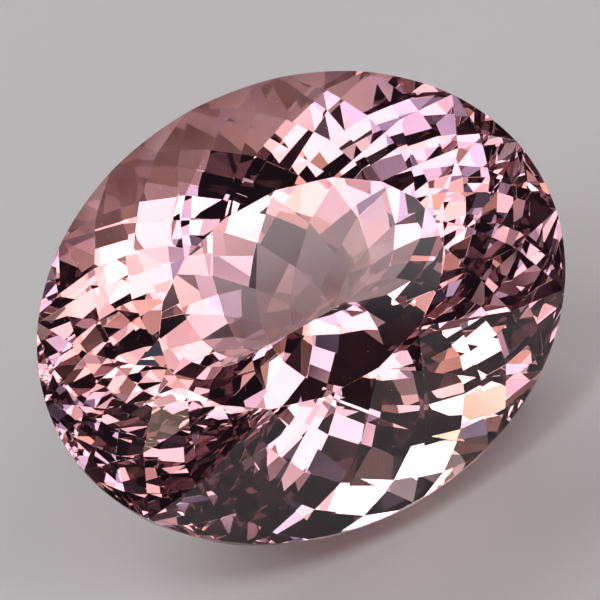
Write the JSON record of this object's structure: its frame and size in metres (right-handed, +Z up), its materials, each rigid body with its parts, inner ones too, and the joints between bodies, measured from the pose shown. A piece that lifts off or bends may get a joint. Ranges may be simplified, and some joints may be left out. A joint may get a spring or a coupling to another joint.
{
  "type": "faceted oval kunzite gemstone",
  "caption": "Cut oval kunzite gemstone with a flat table, a kite-faceted crown, a smooth girdle and a deep many-rowed pavilion, resting on one pavilion facet.",
  "frame": {"origin": "on the surface the stone rests on, below the middle of its box", "axes": "+X along the length of the oval, +Z up; the table faces up and towards -Y"},
  "size_m": [0.026, 0.0168, 0.017],
  "materials": {
    "kunzite": "polished facets of clear pink stone, refractive index about 1.67"
  },
  "bodies": {
    "root": {"kunzite": "kunzite"}
  },
  "joints": []
}
